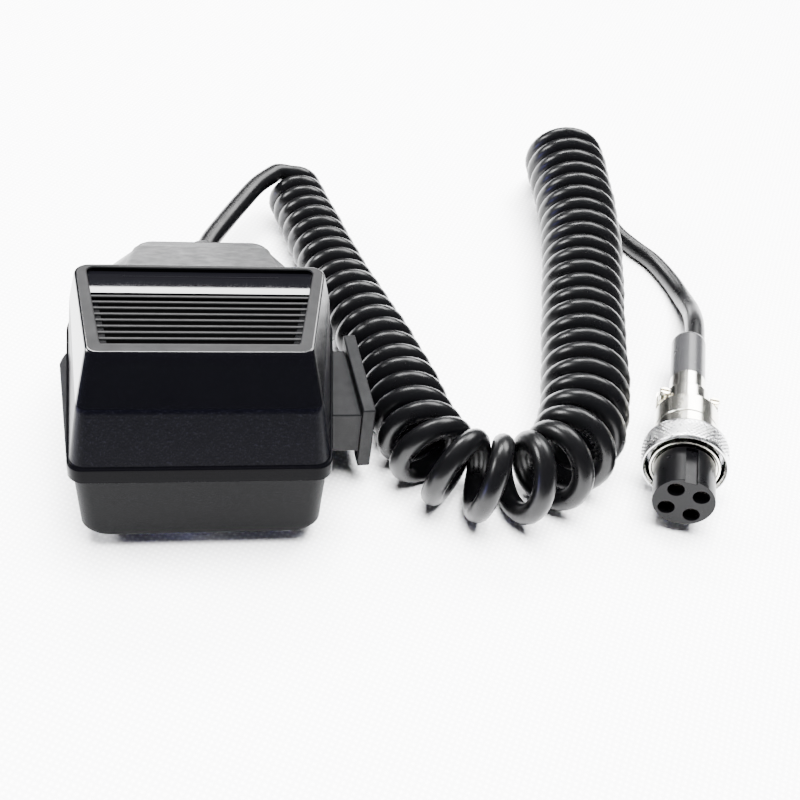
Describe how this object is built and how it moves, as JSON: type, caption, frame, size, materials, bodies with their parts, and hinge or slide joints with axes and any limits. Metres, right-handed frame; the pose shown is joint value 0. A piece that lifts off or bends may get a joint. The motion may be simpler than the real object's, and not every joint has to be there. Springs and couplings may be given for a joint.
{
  "type": "hand microphone",
  "caption": "Palm microphone with a grille, push-to-talk lever and hang-up button, on a curly cord with a threaded-ring plug.",
  "frame": {"origin": "under the middle of the handset, on the surface that it lies on", "axes": "+Z out of the grille side, -Y towards the top end, +Y towards the cord end, +X towards the lever"},
  "size_m": [0.1572, 0.1495, 0.042],
  "materials": {
    "shell_black": "fine grain",
    "gloss_black": "gloss",
    "grille_gray": "satin",
    "cloth_black": "woven",
    "can_metal": "satin",
    "magnet_iron": "plain",
    "diaphragm_film": "film",
    "soft_rubber": "matte",
    "board_green": "satin",
    "contact_brass": "plated",
    "steel": "zinc",
    "bright_chrome": "polished",
    "lever_gray": "satin",
    "white_plastic": "plain",
    "cord_black": "gloss",
    "insert_black": "moulded",
    "screw_brass": "plated",
    "boot_gray": "spring sleeve"
  },
  "bodies": {
    "handset": {"rear_shell": "shell_black", "front_shell": "shell_black", "grille": "grille_gray", "label_strip": "gloss_black", "grille_cloth": "cloth_black", "capsule_can": "can_metal", "capsule_magnet": "magnet_iron", "capsule_diaphragm": "diaphragm_film", "capsule_gasket": "soft_rubber", "circuit_board": "board_green", "switch_body": "gloss_black", "switch_terminals": "contact_brass", "ptt_pin": "steel", "hanger_button": "bright_chrome", "hanger_screw": "steel", "case_screws": "steel", "cord_clamp": "lever_gray", "cord_clamp_screws": "steel", "cord_gland": "soft_rubber", "cord_lead": "cord_black", "cord_coil": "cord_black", "cord_tail": "cord_black", "plug_insert": "insert_black", "plug_contacts": "contact_brass", "plug_front_body": "bright_chrome", "plug_rear_body": "bright_chrome", "plug_clamp_bar": "bright_chrome", "plug_clamp_screws": "screw_brass", "plug_set_screw": "bright_chrome", "plug_boot": "boot_gray"},
    "lever": {"ptt_lever": "lever_gray", "ptt_spring": "steel"},
    "plunger": {"switch_plunger": "white_plastic"},
    "ring_slide_body": {"ring_washer": "white_plastic"},
    "ring": {"coupling_ring": "bright_chrome"}
  },
  "joints": [
    {"name": "ptt_press", "type": "hinge", "parent": "handset", "child": "lever", "pos_m": [0.0156, 0.0075, 0.015], "axis": [0, 0, -1], "range_deg": [0, 8], "stiffness_Nm_per_rad": 0.2, "springref_deg": -5.73},
    {"name": "plunger_press", "type": "slide", "parent": "handset", "child": "plunger", "axis": [-1, 0, 0], "range_m": [0, 0.003]},
    {"name": "ring_slide", "type": "slide", "parent": "handset", "child": "ring_slide_body", "axis": [-0.3173, -0.9483, 0], "range_m": [0, 0.0016]},
    {"name": "ring_spin", "type": "hinge", "parent": "ring_slide_body", "child": "ring", "pos_m": [0.10112, -0.02357, 0.0096], "axis": [-0.3173, -0.9483, 0], "continuous": true}
  ],
  "couplings": [
    {"joint": "plunger_press", "follows": "ptt_press", "m_per_rad": 0.02}
  ]
}
